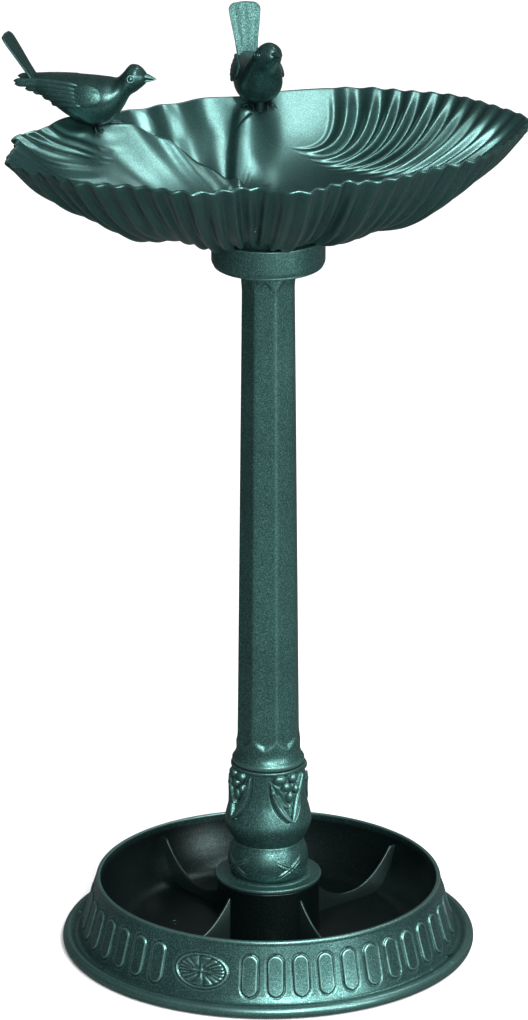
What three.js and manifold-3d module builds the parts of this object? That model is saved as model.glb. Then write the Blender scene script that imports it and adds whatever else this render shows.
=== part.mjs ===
// Pedestal bird bath: a planter base, a turned foot, an octagonal shaft, a scallop-shell bowl and two birds.
// Millimetres, +Z up, -Y is the front. The origin is on the ground, on the axis of the shaft.
import * as THREE from 'three';
import { mergeVertices } from 'three/addons/utils/BufferGeometryUtils.js';
import Module from 'manifold-3d';

const wasm = await Module();
wasm.setup();

// ---------------------------------------------------------------- driving dimensions
const GAP = 0.3; // clearance between pieces that touch
const FINEST = 0.03; // edges and slivers smaller than this are collapsed
const DEG = Math.PI / 180;

const BASE = { flangeR: 180, rimR: 149.8, height: 60.3, wall: 3, floor: 10, hubR: 44.5, sides: 48 };
const RIB = { count: 4, first: -50, thickness: 3, top: 50, low: 19, lowR: 92, reach: 47.5, curl: 2.2 };
const DRAIN = { r: 2.4, angles: [-59, 70, 185], radius: 168.2, floorHoleR: 4, floorHole: [-82, 11] };

const PLATE = { r: 46.2, z: 59.6, thickness: 4, stepR: 35.5, step: 1 };
const PLATE_SCREW = { count: 4, radius: 24, shankR: 2, headR: 3.6, headH: 2.2, length: 14, postR: 5 };
const ROD = { r: 3, bottom: 50, top: 632 };
const BULGE = { bottom: 64.9, top: 96.3, bore: 28.4 };
const VASE = { bottom: 96.6, top: 167.6, bore: 22.2 };
const SHAFT = { bottom: 172.6, top: 634.7, wall: 2.8, spin: 15.4, skirtZ: 172.3 };
const COUPLING = { r: 21.2, wall: 2.4, bottom: 141, top: 214 };
const CAP = { z: 618, plate: 3, skirt: 14, r: 17.8 };
const COLLAR = { r: 48.6, bottom: 620, top: 646, wall: 3, socketR: 24.4, screwRadius: 37 };

const BOWL = { rimZ: 731, depth: 78, wall: 3, ribs: 70, rows: 10, bossR: 44, bossBottom: 646.3 };
const RIBBING = { height: 4.2, lobe: 7 };
const UMBO = [-14, 112]; // where the shell's ribs spring from
const FLOOR = [5, -8]; // the deepest point of the bowl, in plan
const KNOB = { height: 8, spread: 16 }; // the raised beak of the shell, below the back bird

const BIRDS = [
  {
    name: 'bird_left', feet: [-145, 63, 722.5], heading: -12, pitch: 0, look: 0,
    tail: { angle: 55, length: 49 },
  },
  {
    name: 'bird_back', feet: [-7.5, 122, 722.5], heading: -80, pitch: 12, look: 20,
    tail: { angle: 80, length: 50 },
  },
];
const PERCH = { r: 6, depth: 25 }; // boss under the shell below each bird
const BIRD_SCREW = { shankR: 1.8, headR: 3.6, headH: 2.2, intoBody: 14 };

// ---------------------------------------------------------------- materials
function paint(color, roughness = 0.42) {
  return new THREE.MeshStandardMaterial({ color, roughness, metalness: 0.55 });
}
const GREEN = 0x2f6360;
const LIGHT_GREEN = 0x3d7672;
const STEEL = 0x9aa0a4;
const zincSteel = () => new THREE.MeshStandardMaterial({ color: STEEL, roughness: 0.35, metalness: 1 });

// ---------------------------------------------------------------- mesh helpers
// A closed three.js geometry as a solid that can be joined and cut.
function solid(geometry) {
  const bare = geometry.clone();
  for (const name of Object.keys(bare.attributes)) {
    if (name !== 'position') bare.deleteAttribute(name);
  }
  const merged = mergeVertices(bare, 1e-4);
  const index = merged.index.array;
  const kept = [];
  for (let i = 0; i < index.length; i += 3) {
    const [a, b, c] = [index[i], index[i + 1], index[i + 2]];
    if (a !== b && b !== c && c !== a) kept.push(a, b, c);
  }
  const body = new wasm.Manifold(new wasm.Mesh({
    numProp: 3,
    vertProperties: Float32Array.from(merged.attributes.position.array),
    triVerts: Uint32Array.from(signedVolume(merged, kept) < 0 ? kept.reverse() : kept),
  }));
  return body;
}

function signedVolume(geometry, triangles) {
  const p = geometry.attributes.position;
  const [a, b, c] = [new THREE.Vector3(), new THREE.Vector3(), new THREE.Vector3()];
  let volume = 0;
  for (let i = 0; i < triangles.length; i += 3) {
    a.fromBufferAttribute(p, triangles[i]);
    b.fromBufferAttribute(p, triangles[i + 1]);
    c.fromBufferAttribute(p, triangles[i + 2]);
    volume += a.dot(b.cross(c)) / 6;
  }
  return volume;
}

function geometryOf(body) {
  const mesh = body.asOriginal().simplify(FINEST).getMesh();
  const geometry = new THREE.BufferGeometry();
  geometry.setAttribute('position', new THREE.BufferAttribute(Float32Array.from(mesh.vertProperties), 3));
  geometry.setIndex(new THREE.BufferAttribute(Uint32Array.from(mesh.triVerts), 1));
  geometry.computeVertexNormals();
  return geometry;
}

// A solid turned about the Z axis from [radius, height] points; the outline closes on itself.
function turned(outline, sides) {
  const points = [...outline, outline[0]].map(([r, z]) => new THREE.Vector2(r, z));
  return solid(new THREE.LatheGeometry(points, sides).rotateX(Math.PI / 2));
}

function cylinder(r, z0, z1, sides = 16, x = 0, y = 0) {
  const geometry = new THREE.CylinderGeometry(r, r, z1 - z0, sides).rotateX(Math.PI / 2);
  return solid(geometry.translate(x, y, (z0 + z1) / 2));
}

// Rings of points, each with the same count, joined in order.
// Each end closes on an apex or its ring's middle.
function loft(rings, apexes = []) {
  const count = rings[0].length;
  const positions = rings.flat(2);
  const index = [];
  for (let r = 0; r + 1 < rings.length; r++) {
    for (let i = 0; i < count; i++) {
      const [a, b] = [r * count + i, r * count + ((i + 1) % count)];
      index.push(a, b, b + count, a, b + count, a + count);
    }
  }
  for (const [ring, flip, apex] of [[0, true, apexes[0]], [rings.length - 1, false, apexes[1]]]) {
    const centre = positions.length / 3;
    const middle = (axis) => rings[ring].reduce((sum, p) => sum + p[axis], 0) / count;
    positions.push(...(apex || [0, 1, 2].map(middle)));
    for (let i = 0; i < count; i++) {
      const [a, b] = [ring * count + i, ring * count + ((i + 1) % count)];
      index.push(...(flip ? [b, a, centre] : [a, b, centre]));
    }
  }
  const geometry = new THREE.BufferGeometry();
  geometry.setAttribute('position', new THREE.Float32BufferAttribute(positions, 3));
  geometry.setIndex(index);
  return solid(geometry);
}

const part = new THREE.Group();
function add(name, body, material, parent = part) {
  const mesh = new THREE.Mesh(geometryOf(body), material);
  mesh.name = name;
  parent.add(mesh);
  return mesh;
}

const polar = (r, degrees) => [r * Math.sin(degrees * DEG), -r * Math.cos(degrees * DEG)];
const smooth = (from, to, value) => {
  const x = Math.min(1, Math.max(0, (value - from) / (to - from)));
  return x * x * (3 - 2 * x);
};

// ---------------------------------------------------------------- planter base
// Radius of the outside wall at a height: a cone that flares a little towards the flange.
function wallRadius(z) {
  const x = (BASE.height - z) / BASE.height;
  return BASE.rimR + 15.2 * x + 3.6 * x ** 4;
}

// The planter's inner skin from the rim down to the floor, radius and height.
const DISH = [
  [146.6, 56], [145.6, 50], [143.6, 42], [140.4, 33], [135.5, 23.5], [129.5, 15.5], [122, 10.8], [114, 10],
];
// The hidden skin under the dish, up to where it meets the wall, and down the back of the wall.
const UNDERSIDE = [[121, 7], [131, 12.7], [138.3, 21.6], [143.4, 31.6], [146.4, 41.5], [148.4, 49]];

function basePlanter() {
  const { floor, hubR, wall, height, flangeR, rimR } = BASE;
  const outside = [12, 20, 36, 52, 57.5].map((z) => [wallRadius(z), z]);
  const back = [40, 25, 8].map((z) => [wallRadius(z) - wall, z]);
  const bead = [[flangeR - 4.5, 0], [flangeR - 1.2, 1.6], [flangeR, 5], [flangeR - 1.4, 8.6], [flangeR - 4.8, 10.4],
    [flangeR - 8.4, 9.4], [flangeR - 10.8, 7.6], [flangeR - 14, 8.2]];
  const lip = [[rimR + 0.2, height - 0.8], [rimR - 0.8, height], [rimR - 2.6, height]];
  const hub = [[hubR, floor], [hubR, PLATE.z - GAP], [hubR - wall, PLATE.z - GAP], [hubR - wall, wall]];
  const foot = [[0, wall], [0, 0], [hubR, 0], [hubR, floor - wall]];
  const under = [...UNDERSIDE, ...back, [163, 3], [167, 0]];
  const outline = [...bead, ...outside, ...lip, ...DISH, ...hub, ...foot, ...under];
  let body = solid(new THREE.LatheGeometry(
    [...outline, outline[0]].map(([r, z]) => new THREE.Vector2(r, z)), BASE.sides).rotateX(Math.PI / 2));
  for (let i = 0; i < RIB.count; i++) body = body.add(planterRib(RIB.first + i * 90));
  for (let i = 0; i < PLATE_SCREW.count; i++) {
    const [x, y] = polar(PLATE_SCREW.radius, 45 + i * 90);
    body = body.add(cylinder(PLATE_SCREW.postR, wall - 0.5, PLATE.z - GAP, 12, x, y));
    body = body.subtract(cylinder(PLATE_SCREW.shankR + GAP, PLATE.z - 15, PLATE.z + 1, 12, x, y));
  }
  for (const angle of DRAIN.angles) {
    const [x, y] = polar(DRAIN.radius, angle);
    body = body.subtract(cylinder(DRAIN.r, -1, 12, 12, x, y));
  }
  return body.subtract(cylinder(DRAIN.floorHoleR, -1, floor + 1, 12, ...DRAIN.floorHole));
}

// A thin web from the hub to the dish with a sagging top edge.
function planterRib(angle) {
  const { thickness, top, low, lowR, reach, curl } = RIB;
  const inner = BASE.hubR - 1;
  const shape = new THREE.Shape();
  shape.moveTo(inner, BASE.floor - 1);
  for (const [r, z] of [...DISH].reverse()) {
    if (z < top) shape.lineTo(r + 1.2, z - 0.8);
  }
  shape.lineTo(DISH[1][0] + 1.2, top);
  const steps = 10;
  for (let i = steps; i >= 0; i--) {
    const r = inner + ((lowR + reach - inner) * i) / steps;
    shape.lineTo(r, low + (top - low) * Math.abs((r - lowR) / reach) ** curl);
  }
  const web = new THREE.ExtrudeGeometry(shape, { depth: thickness, bevelEnabled: false });
  web.translate(0, 0, -thickness / 2).rotateX(Math.PI / 2).rotateZ((angle - 90) * DEG);
  return solid(web);
}

add('base_planter', basePlanter(), paint(GREEN));

// ---------------------------------------------------------------- foot
function footPlate() {
  const { r, z, thickness, stepR, step } = PLATE;
  const top = z + thickness;
  let body = turned([[ROD.r + GAP, z], [r - 1.5, z], [r, z + 1.2], [r, top - 1], [r - 1, top - 0.2],
    [stepR + 1.2, top + 0.2], [stepR, top + step], [ROD.r + GAP, top + step]], 40);
  for (let i = 0; i < PLATE_SCREW.count; i++) {
    const [x, y] = polar(PLATE_SCREW.radius, 45 + i * 90);
    body = body.subtract(cylinder(PLATE_SCREW.shankR + GAP, z - 1, top + step + 1, 12, x, y));
  }
  return body;
}
add('foot_plate', footPlate(), paint(GREEN));

// A pan-head screw along Z, its head's underside at z = 0 and its shank pointing down.
function panScrew(shankR, headR, headH, length) {
  const outline = [[0, -length], [shankR * 0.5, -length], [shankR, -length + shankR], [shankR, 0], [headR, 0],
    [headR, headH * 0.5], [headR * 0.7, headH], [0, headH]];
  return turned(outline, 8);
}

for (let i = 0; i < PLATE_SCREW.count; i++) {
  const { shankR, headR, headH, length } = PLATE_SCREW;
  const [x, y] = polar(PLATE_SCREW.radius, 45 + i * 90);
  const screw = add(`plate_screw_${i + 1}`, panScrew(shankR, headR, headH, length), zincSteel());
  screw.position.set(x, y, PLATE.z + PLATE.thickness + PLATE.step + GAP);
}

add('tie_rod', cylinder(ROD.r, ROD.bottom, ROD.top, 12), zincSteel());

function hexNut(height) {
  return cylinder(5.6, 0, height, 6).subtract(cylinder(ROD.r + GAP, -1, height + 1, 12));
}
const lowerNut = add('rod_nut_lower', hexNut(5), zincSteel());
lowerNut.position.z = PLATE.z - GAP - 5;

const bulgeOutline = [[BULGE.bore, BULGE.bottom], [31.6, BULGE.bottom], [33, 67.5], [34.1, 72], [34.9, 77],
  [34.7, 81.5], [33.3, 88], [31.4, 92], [30.5, BULGE.top], [24, BULGE.top], [24, 93], [BULGE.bore, 90]];
add('foot_bulge', turned(bulgeOutline, 24), paint(GREEN));

add('foot_vase', turned([[24, VASE.bottom], [30.8, VASE.bottom], [32.6, 101], [35.3, 106.7], [37.6, 113],
  [37.4, 118], [35.9, 125.5], [34, 132], [32.4, 140], [32.1, 152], [31.9, 165.6], [31.2, VASE.top],
  [28.6, VASE.top], [28.6, VASE.top - 3], [VASE.bore, VASE.top - 3], [VASE.bore, 140], [18, 140], [18, 136],
  [28.5, 136], [31.5, 120], [31.5, 112], [28, 103], [24, 101]], 24), paint(GREEN));

add('shaft_coupling', turned([[COUPLING.r - COUPLING.wall, COUPLING.bottom], [COUPLING.r, COUPLING.bottom],
  [COUPLING.r, COUPLING.top], [COUPLING.r - COUPLING.wall, COUPLING.top]], 24), paint(GREEN, 0.6));

// ---------------------------------------------------------------- shaft
// Corner radius of the tapering octagon at a height.
const shaftRadius = (z) => 27.6 - (27.6 - 23.4) * ((z - 200) / 400);

// One ring of the shaft: an octagon with eased corners that turns into a circle as round goes to 1.
function shaftRing(cornerR, z, round) {
  const ring = [];
  for (let i = 0; i < 16; i++) {
    const angle = (SHAFT.spin + i * 22.5) * DEG;
    const flat = i % 2 === 0 ? cornerR : cornerR * Math.cos(22.5 * DEG);
    const r = flat + (cornerR - flat) * round;
    ring.push([r * Math.sin(angle), -r * Math.cos(angle), z]);
  }
  return ring;
}

function columnShaft() {
  const { bottom, top, wall } = SHAFT;
  const skirt = [[28.2, bottom - 7.7], [28.2, bottom - 4.2], [31, bottom - 4.2], [31.3, bottom - 0.6],
    [28.4, 177], [26.8, 181]];
  const outside = [...skirt.map(([r, z]) => shaftRing(r, z, 1)), shaftRing(shaftRadius(196), 190, 0.3),
    shaftRing(shaftRadius(204), 204, 0), shaftRing(shaftRadius(590), 590, 0),
    shaftRing(shaftRadius(608), 608, 0.8), shaftRing(shaftRadius(616), 616, 1),
    shaftRing(shaftRadius(616), top, 1)];
  const bore = [shaftRing(22.9, bottom - 8.7, 1), shaftRing(22.9, 200, 1),
    shaftRing(shaftRadius(616) - wall - 1.9, 590, 1), shaftRing(shaftRadius(616) - wall - 1.9, top + 1, 1)];
  return loft(outside).subtract(loft(bore));
}
add('column_shaft', columnShaft(), paint(LIGHT_GREEN));

add('shaft_cap', turned([[ROD.r + GAP, CAP.z], [CAP.r - 2.4, CAP.z], [CAP.r - 2.4, CAP.z - CAP.skirt],
  [CAP.r, CAP.z - CAP.skirt], [CAP.r, CAP.z + CAP.plate], [ROD.r + GAP, CAP.z + CAP.plate]], 24), paint(GREEN, 0.6));
const washerOutline = [[ROD.r + GAP, 0], [9, 0], [9, 1.5], [ROD.r + GAP, 1.5]];
const washer = add('rod_washer', turned(washerOutline, 20), zincSteel());
washer.position.z = CAP.z + CAP.plate + GAP;
const upperNut = add('rod_nut_upper', hexNut(5), zincSteel());
upperNut.position.z = washer.position.z + 1.5 + GAP;

// ---------------------------------------------------------------- collar under the bowl
function bowlCollar() {
  const { r, bottom, top, wall, socketR } = COLLAR;
  let body = turned([[socketR, bottom + 1], [socketR + wall, bottom + 1], [socketR + wall, top - wall],
    [r - wall, top - wall], [r - wall, bottom + 1], [r - 2.6, bottom], [r - 1.6, bottom + 1], [r - 1.8, bottom + 2.4],
    [r, bottom + 4.4], [r, top], [0, top], [0, top - wall], [socketR, top - wall]], 30);
  for (let i = 0; i < 4; i++) {
    const [x, y] = polar(COLLAR.screwRadius, 45 + i * 90);
    body = body.subtract(cylinder(2 + GAP, top - wall - 1, top + 1, 12, x, y));
  }
  return body;
}
add('bowl_collar', bowlCollar(), paint(GREEN));

for (let i = 0; i < 4; i++) {
  const [x, y] = polar(COLLAR.screwRadius, 45 + i * 90);
  const screw = add(`collar_screw_${i + 1}`, panScrew(2, 3.6, 2.2, 9), zincSteel());
  screw.rotation.x = Math.PI;
  screw.position.set(x, -y, COLLAR.top - COLLAR.wall - GAP);
}

// ---------------------------------------------------------------- shell bowl
// Rim outline in plan, counterclockwise from the right tip: x, y, and how full the lobe is there (0 to 1).
const RIM = [[219, 62, 0.6], [193, 98, 0.6], [158, 130, 0.5], [118, 143, 0.5], [78, 152, 0.6], [14, 142, 0.5],
  [-22, 126, 0.2], [-57, 120, 0.6], [-78, 104, 0.2], [-92, 101, 0.6], [-104, 89, 0.2], [-118, 86, 0.6],
  [-131, 77, 0.3], [-170, 64, 0.6], [-188, 34, 0.4], [-213, 6, 0.7], [-211, -14, 0.4], [-216, -70, 0.8],
  [-184, -98, 0], [-158, -120, 1], [-112, -130, 0], [-60, -148, 1], [-15, -135, 0], [28, -146, 1], [64, -119, 0],
  [95, -113, 1], [143, -75, 0], [171, -56, 1], [198, -16, 0], [215, 26, 0.8]];
const rimCurve = new THREE.CatmullRomCurve3(RIM.map((p) => new THREE.Vector3(...p)), true, 'centripetal');
rimCurve.arcLengthDivisions = 720;

// Radius of the rim seen from the deepest point, by angle.
const rimPolar = Array.from({ length: 720 }, (_, i) => rimCurve.getPointAt(i / 720))
  .map((p) => [Math.atan2(p.y - FLOOR[1], p.x - FLOOR[0]), Math.hypot(p.x - FLOOR[0], p.y - FLOOR[1])])
  .sort((a, b) => a[0] - b[0]);
function rimRadius(angle) {
  let low = 0;
  let high = rimPolar.length - 1;
  if (angle <= rimPolar[0][0] || angle >= rimPolar[high][0]) return rimPolar[0][1];
  while (high - low > 1) {
    const middle = (low + high) >> 1;
    if (rimPolar[middle][0] <= angle) low = middle;
    else high = middle;
  }
  const [a0, r0] = rimPolar[low];
  const [a1, r1] = rimPolar[high];
  return r0 + ((r1 - r0) * (angle - a0)) / (a1 - a0 || 1);
}

// Two folds of the shell: a crest along the path, a gentle side on its right and a drop on its left.
const FOLDS = [
  {
    path: [[-12, 44], [-30, 54], [-52, 60], [-72, 65], [-92, 68], [-110, 67], [-128, 65], [-148, 66]],
    height: 15, reach: 32, drop: 14, fade: 0,
  },
  { path: [[-21, 122], [-26, 95], [-27, 66], [-18, 34]], height: 5, reach: 18, drop: 9, fade: 1 },
];

// Signed distance to a path (positive on its right when walking it),
// and how far along it the nearest point is.
function nearPath(path, x, y) {
  let best = { distance: Infinity, along: 0 };
  for (let i = 0; i + 1 < path.length; i++) {
    const [[ax, ay], [bx, by]] = [path[i], path[i + 1]];
    const [dx, dy] = [bx - ax, by - ay];
    const t = Math.min(1, Math.max(0, ((x - ax) * dx + (y - ay) * dy) / (dx * dx + dy * dy)));
    const distance = Math.hypot(x - ax - t * dx, y - ay - t * dy);
    if (distance < Math.abs(best.distance)) {
      const side = Math.sign((x - ax) * dy - (y - ay) * dx) || 1;
      best = { distance: side * distance, along: (i + t) / (path.length - 1) };
    }
  }
  return best;
}

function foldHeight(x, y) {
  let total = 0;
  for (const { path, height, reach, drop, fade } of FOLDS) {
    const { distance, along } = nearPath(path, x, y);
    const ends = smooth(0, 0.15, along) * (1 - fade * smooth(0.8, 1, along));
    const shape = distance < 0
      ? Math.exp(-((distance / reach) ** 2))
      : 1 - 1.5 * smooth(0, drop, distance) + 0.5 * smooth(drop, 3 * drop, distance);
    total += height * ends * shape;
  }
  return total;
}

// Height of the smooth inner surface at a point in plan.
function basinHeight(x, y) {
  const [dx, dy] = [x - FLOOR[0], y - FLOOR[1]];
  const angle = Math.atan2(dy, dx);
  const rho = Math.min(1, Math.hypot(dx, dy) / rimRadius(angle));
  const steepness = 1 + 0.1 * Math.max(0, Math.sin(angle));
  const flatness = 3 + 0.6 * Math.min(0, Math.sin(angle));
  const inside = smooth(0, 0.12, 1 - rho);
  const knob = KNOB.height * Math.exp(-(((x - UMBO[0]) ** 2 + (y - UMBO[1]) ** 2) / KNOB.spread ** 2));
  return BOWL.rimZ - BOWL.depth * (1 - rho ** flatness) ** steepness + (foldHeight(x, y) + knob) * inside;
}

// A point of the smooth inner surface: s runs round the rim, t from the umbo (0) to the rim (1).
// The lines of constant s bow away from the hinge, as the ribs of the shell do.
function shellPoint(s, t) {
  const rim = rimCurve.getPointAt(((s % 1) + 1) % 1);
  const [rx, ry] = [rim.x - UMBO[0], rim.y - UMBO[1]];
  const reach = Math.hypot(rx, ry);
  const bow = Math.max(0, 0.34 + 0.66 * (ry / reach));
  const side = Math.sign(rx) || 1;
  const along = 0.5 + 0.45 * bow;
  const cx = UMBO[0] + rx * along + bow * ry * side;
  const cy = UMBO[1] + ry * along - bow * rx * side;
  const x = (1 - t) ** 2 * UMBO[0] + 2 * t * (1 - t) * cx + t * t * rim.x;
  const y = (1 - t) ** 2 * UMBO[1] + 2 * t * (1 - t) * cy + t * t * rim.y;
  const lobe = RIBBING.lobe * (rim.z - 0.5) * Math.sin(Math.PI * t) * smooth(0, -0.6, ry / reach);
  return new THREE.Vector3(x, y, basinHeight(x, y) - lobe);
}

// How strongly the ribs stand at a place: full on the right and the front, none in the smooth scoops.
function ribStrength(s, t) {
  const rim = rimCurve.getPointAt(((s % 1) + 1) % 1);
  let angle = Math.atan2(rim.y - UMBO[1], rim.x - UMBO[0]) / DEG;
  if (angle > 150) angle -= 360;
  const rightEdge = 1 - smooth(24, 32, angle);
  const leftEdge = smooth(-160, -150, angle);
  const scoop = smooth(-95, -125, angle);
  return rightEdge * leftEdge * (t ** 0.8 * (1 - scoop) + scoop * smooth(0.55, 0.95, t));
}

// Rings of points along the shell, moved along its normal by minus offset; ribs zigzag from column to column.
// The last ring is carried outwards by beyond.
function shellRings(offset, beyond = 0) {
  const columns = BOWL.ribs * 2;
  const step = 1e-3;
  const rings = [];
  for (let r = 1; r <= BOWL.rows; r++) {
    const ring = [];
    for (let c = 0; c < columns; c++) {
      const s = c / columns;
      const t = r / BOWL.rows;
      const acrossS = shellPoint(s + step, t).sub(shellPoint(s - step, t));
      const acrossT = shellPoint(s, Math.min(1, t + step)).sub(shellPoint(s, t - step));
      const up = acrossT.cross(acrossS).normalize();
      if (up.z < 0) up.negate();
      const wave = (c % 2 === 0 ? 1 : -1) * RIBBING.height * 0.5 * ribStrength(s, t);
      const place = shellPoint(s, t);
      const outwards = new THREE.Vector3(place.x - FLOOR[0], place.y - FLOOR[1], 0).normalize();
      place.addScaledVector(up, wave - offset).addScaledVector(outwards, r === BOWL.rows ? beyond : 0);
      ring.push(place.toArray());
    }
    rings.push(ring);
  }
  return rings;
}

const beakAt = (offset) => [...UMBO, basinHeight(...UMBO) - offset];

// The wall of the shell, made thicker on both faces by grow.
function shellWall(grow = 0) {
  const outside = BOWL.wall + grow;
  const rings = [...shellRings(-grow, grow), ...shellRings(outside, grow).reverse()];
  return loft(rings, [beakAt(-grow), beakAt(outside)]);
}

// Everything over the shell's inner face.
function shellHollow() {
  return loft(shellRings(0), [beakAt(0), [0, 0, BOWL.rimZ + 60]]);
}

function shellBowl() {
  let bosses = cylinder(BOWL.bossR, BOWL.bossBottom - 4, BOWL.bossBottom + 20, 36);
  for (const { feet: [x, y, z] } of BIRDS) {
    bosses = bosses.add(cylinder(PERCH.r, z - PERCH.depth, z + 4, 16, x, y));
  }
  let body = shellWall().add(bosses.subtract(shellHollow()));
  body = body.subtract(cylinder(COLLAR.r + 2, COLLAR.bottom, BOWL.bossBottom, 36));
  for (const { feet: [x, y, z] } of BIRDS) {
    body = body.subtract(cylinder(BIRD_SCREW.shankR + GAP, z - PERCH.depth - 9, z + 9, 12, x, y));
  }
  for (let i = 0; i < 4; i++) {
    const [x, y] = polar(COLLAR.screwRadius, 45 + i * 90);
    body = body.subtract(cylinder(2 + GAP, BOWL.bossBottom - 1, BOWL.bossBottom + 6, 12, x, y));
  }
  return body;
}
add('bowl', shellBowl(), paint(LIGHT_GREEN, 0.36));

// ---------------------------------------------------------------- birds
// Sections of the body from tail to beak: x, centre height, half height, half width.
const BIRD_BODY = [[-64, 37, 1.5, 3], [-52, 37.5, 7, 8], [-38, 32, 13.1, 14], [-22, 27.1, 18.4, 18.5],
  [-6, 24.4, 20.6, 20.5], [8, 24.7, 19.7, 19.5], [16, 27.4, 16.8, 17], [22, 34, 15.5, 14], [28, 43, 13.6, 12.3],
  [34, 45.6, 11.6, 11], [38.5, 46.2, 8.4, 8], [42, 46, 5, 4.6], [50.5, 45.8, 0.6, 0.6]];
const TAIL = { root: [-53, 37], rootWidth: 16, tipWidth: 27, thickness: 3, buried: 5 };
const NECK = { x: 18, from: 16, to: 30 }; // where the head turns from

function tailSolid(tail, grow) {
  const { rootWidth, tipWidth, thickness, buried } = TAIL;
  const { angle, length } = tail;
  const shape = new THREE.Shape();
  shape.moveTo(-buried - grow, -rootWidth / 2 - grow);
  shape.lineTo(length * 0.35, -rootWidth / 2 - grow - 1);
  shape.lineTo(length - 5, -tipWidth / 2);
  shape.quadraticCurveTo(length + 3, 0, length - 5, tipWidth / 2);
  shape.lineTo(length * 0.35, rootWidth / 2 + grow + 1);
  shape.lineTo(-buried - grow, rootWidth / 2 + grow);
  const half = thickness / 2 + grow;
  const plate = new THREE.ExtrudeGeometry(shape, { depth: 2 * half, bevelEnabled: false, curveSegments: 6 });
  plate.translate(0, 0, -half).rotateY(-(180 - angle) * DEG).translate(TAIL.root[0], 0, TAIL.root[1]);
  return solid(plate);
}

// The body, cut away where the shell and the screw pass through it, in the bird's own leaning frame.
function birdBody({ pitch, look, tail }, placed) {
  const sides = 16;
  const rings = BIRD_BODY.map(([x, z, halfHeight, halfWidth]) => Array.from({ length: sides }, (_, i) => {
    const angle = (i / sides) * 2 * Math.PI;
    const turn = look * DEG * smooth(NECK.from, NECK.to, x);
    const [along, across] = [x - NECK.x, halfWidth * Math.cos(angle)];
    return [NECK.x + along * Math.cos(turn) - across * Math.sin(turn),
      along * Math.sin(turn) + across * Math.cos(turn), z + halfHeight * Math.sin(angle)];
  }));
  const [bossR, shankR] = [PERCH.r + GAP, BIRD_SCREW.shankR + GAP];
  const hole = new THREE.LatheGeometry([[0, -40], [bossR, -40], [bossR, 4.4], [shankR, 4.4],
    [shankR, BIRD_SCREW.intoBody + 1.5], [0, BIRD_SCREW.intoBody + 1.5]].map((p) => new THREE.Vector2(...p)), 16);
  hole.rotateX(Math.PI / 2).rotateY(pitch * DEG);
  const shell = shellWall(3 * GAP).transform(placed.clone().invert().elements);
  return loft(rings).subtract(tailSolid(tail, GAP)).subtract(solid(hole)).subtract(shell);
}

for (const sitter of BIRDS) {
  const { name, feet, heading, pitch, tail } = sitter;
  const bird = new THREE.Group();
  bird.position.set(...feet);
  bird.rotation.z = heading * DEG;
  const leaning = new THREE.Group();
  leaning.rotation.y = -pitch * DEG;
  bird.add(leaning);
  bird.updateMatrixWorld(true);
  add(`${name}_body`, birdBody(sitter, leaning.matrixWorld), paint(GREEN), leaning);
  add(`${name}_tail`, tailSolid(tail, 0), paint(LIGHT_GREEN, 0.55), leaning);
  const { shankR, headR, headH, intoBody } = BIRD_SCREW;
  const length = PERCH.depth + intoBody;
  const screw = add(`${name}_screw`, panScrew(shankR, headR, headH, length), zincSteel(), bird);
  screw.rotation.x = Math.PI;
  screw.position.z = -PERCH.depth - GAP;
  part.add(bird);
}

export default part;
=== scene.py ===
# Looks of the pedestal bird bath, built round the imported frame. Geometry is worked out in millimetres in the
# frame's own axes (+Z up, -Y the front, origin on the ground on the shaft's axis) and scaled when it is made.
import math

import bmesh
import bpy
import numpy as np
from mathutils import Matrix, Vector


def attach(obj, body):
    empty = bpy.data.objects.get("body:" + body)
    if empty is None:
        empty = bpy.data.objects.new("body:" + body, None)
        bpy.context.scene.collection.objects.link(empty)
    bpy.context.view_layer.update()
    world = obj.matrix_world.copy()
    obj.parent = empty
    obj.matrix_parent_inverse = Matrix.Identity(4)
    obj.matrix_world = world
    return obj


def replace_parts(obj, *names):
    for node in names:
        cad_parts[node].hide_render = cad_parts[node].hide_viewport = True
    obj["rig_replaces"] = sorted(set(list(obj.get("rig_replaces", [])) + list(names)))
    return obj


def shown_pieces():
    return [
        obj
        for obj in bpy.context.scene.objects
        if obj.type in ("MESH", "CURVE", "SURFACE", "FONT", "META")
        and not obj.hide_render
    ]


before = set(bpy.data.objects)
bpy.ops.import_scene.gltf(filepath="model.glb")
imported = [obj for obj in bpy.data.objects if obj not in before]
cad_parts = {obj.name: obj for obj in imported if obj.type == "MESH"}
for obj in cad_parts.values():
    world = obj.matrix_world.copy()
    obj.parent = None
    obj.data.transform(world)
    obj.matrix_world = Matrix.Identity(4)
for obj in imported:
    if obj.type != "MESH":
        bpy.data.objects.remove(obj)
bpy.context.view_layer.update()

MM = 0.001
DEG = math.pi / 180
CORE = 0.02  # radius, in mm, at which a turned skin with no bore stops short of the axis

# ---------------------------------------------------------------- driving dimensions
# In mm and degrees, and the CAD's own wherever it has them.
BASE = {"flange": 180, "rim": 149.8, "height": 60.3, "wall": 3, "floor": 10, "hub": 44.5}
ORNAMENTS = [35, 125, 215, 305]
MEDALLIONS = [-21.5, 98.5, 218.5]
DRAINS = [-59, 70, 185]
BOWL = {"rim_z": 731, "depth": 78, "wall": 3, "ribs": 70, "boss": 44, "boss_z": 646.3}
RIBBING = {"inside": 6.4, "outside": 5.0, "lobe": 7}
UMBO = (-14, 112)
FLOOR = (5, -8)
KNOB = {"height": 8, "spread": 16}
SHAFT = {"top": 634.6, "spin": 15.4}
COLLAR = {"r": 48.6, "bottom": 620, "top": 646, "wall": 3, "socket": 24.4}
BIRDS = [
    {"name": "bird_left", "feet": (-145, 63, 722.5), "heading": -12, "pitch": 0, "look": 0,
     "tail": {"angle": 55, "length": 49}},
    {"name": "bird_back", "feet": (-7.5, 122, 722.5), "heading": -80, "pitch": 12, "look": 20,
     "tail": {"angle": 80, "length": 50}},
]


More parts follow.
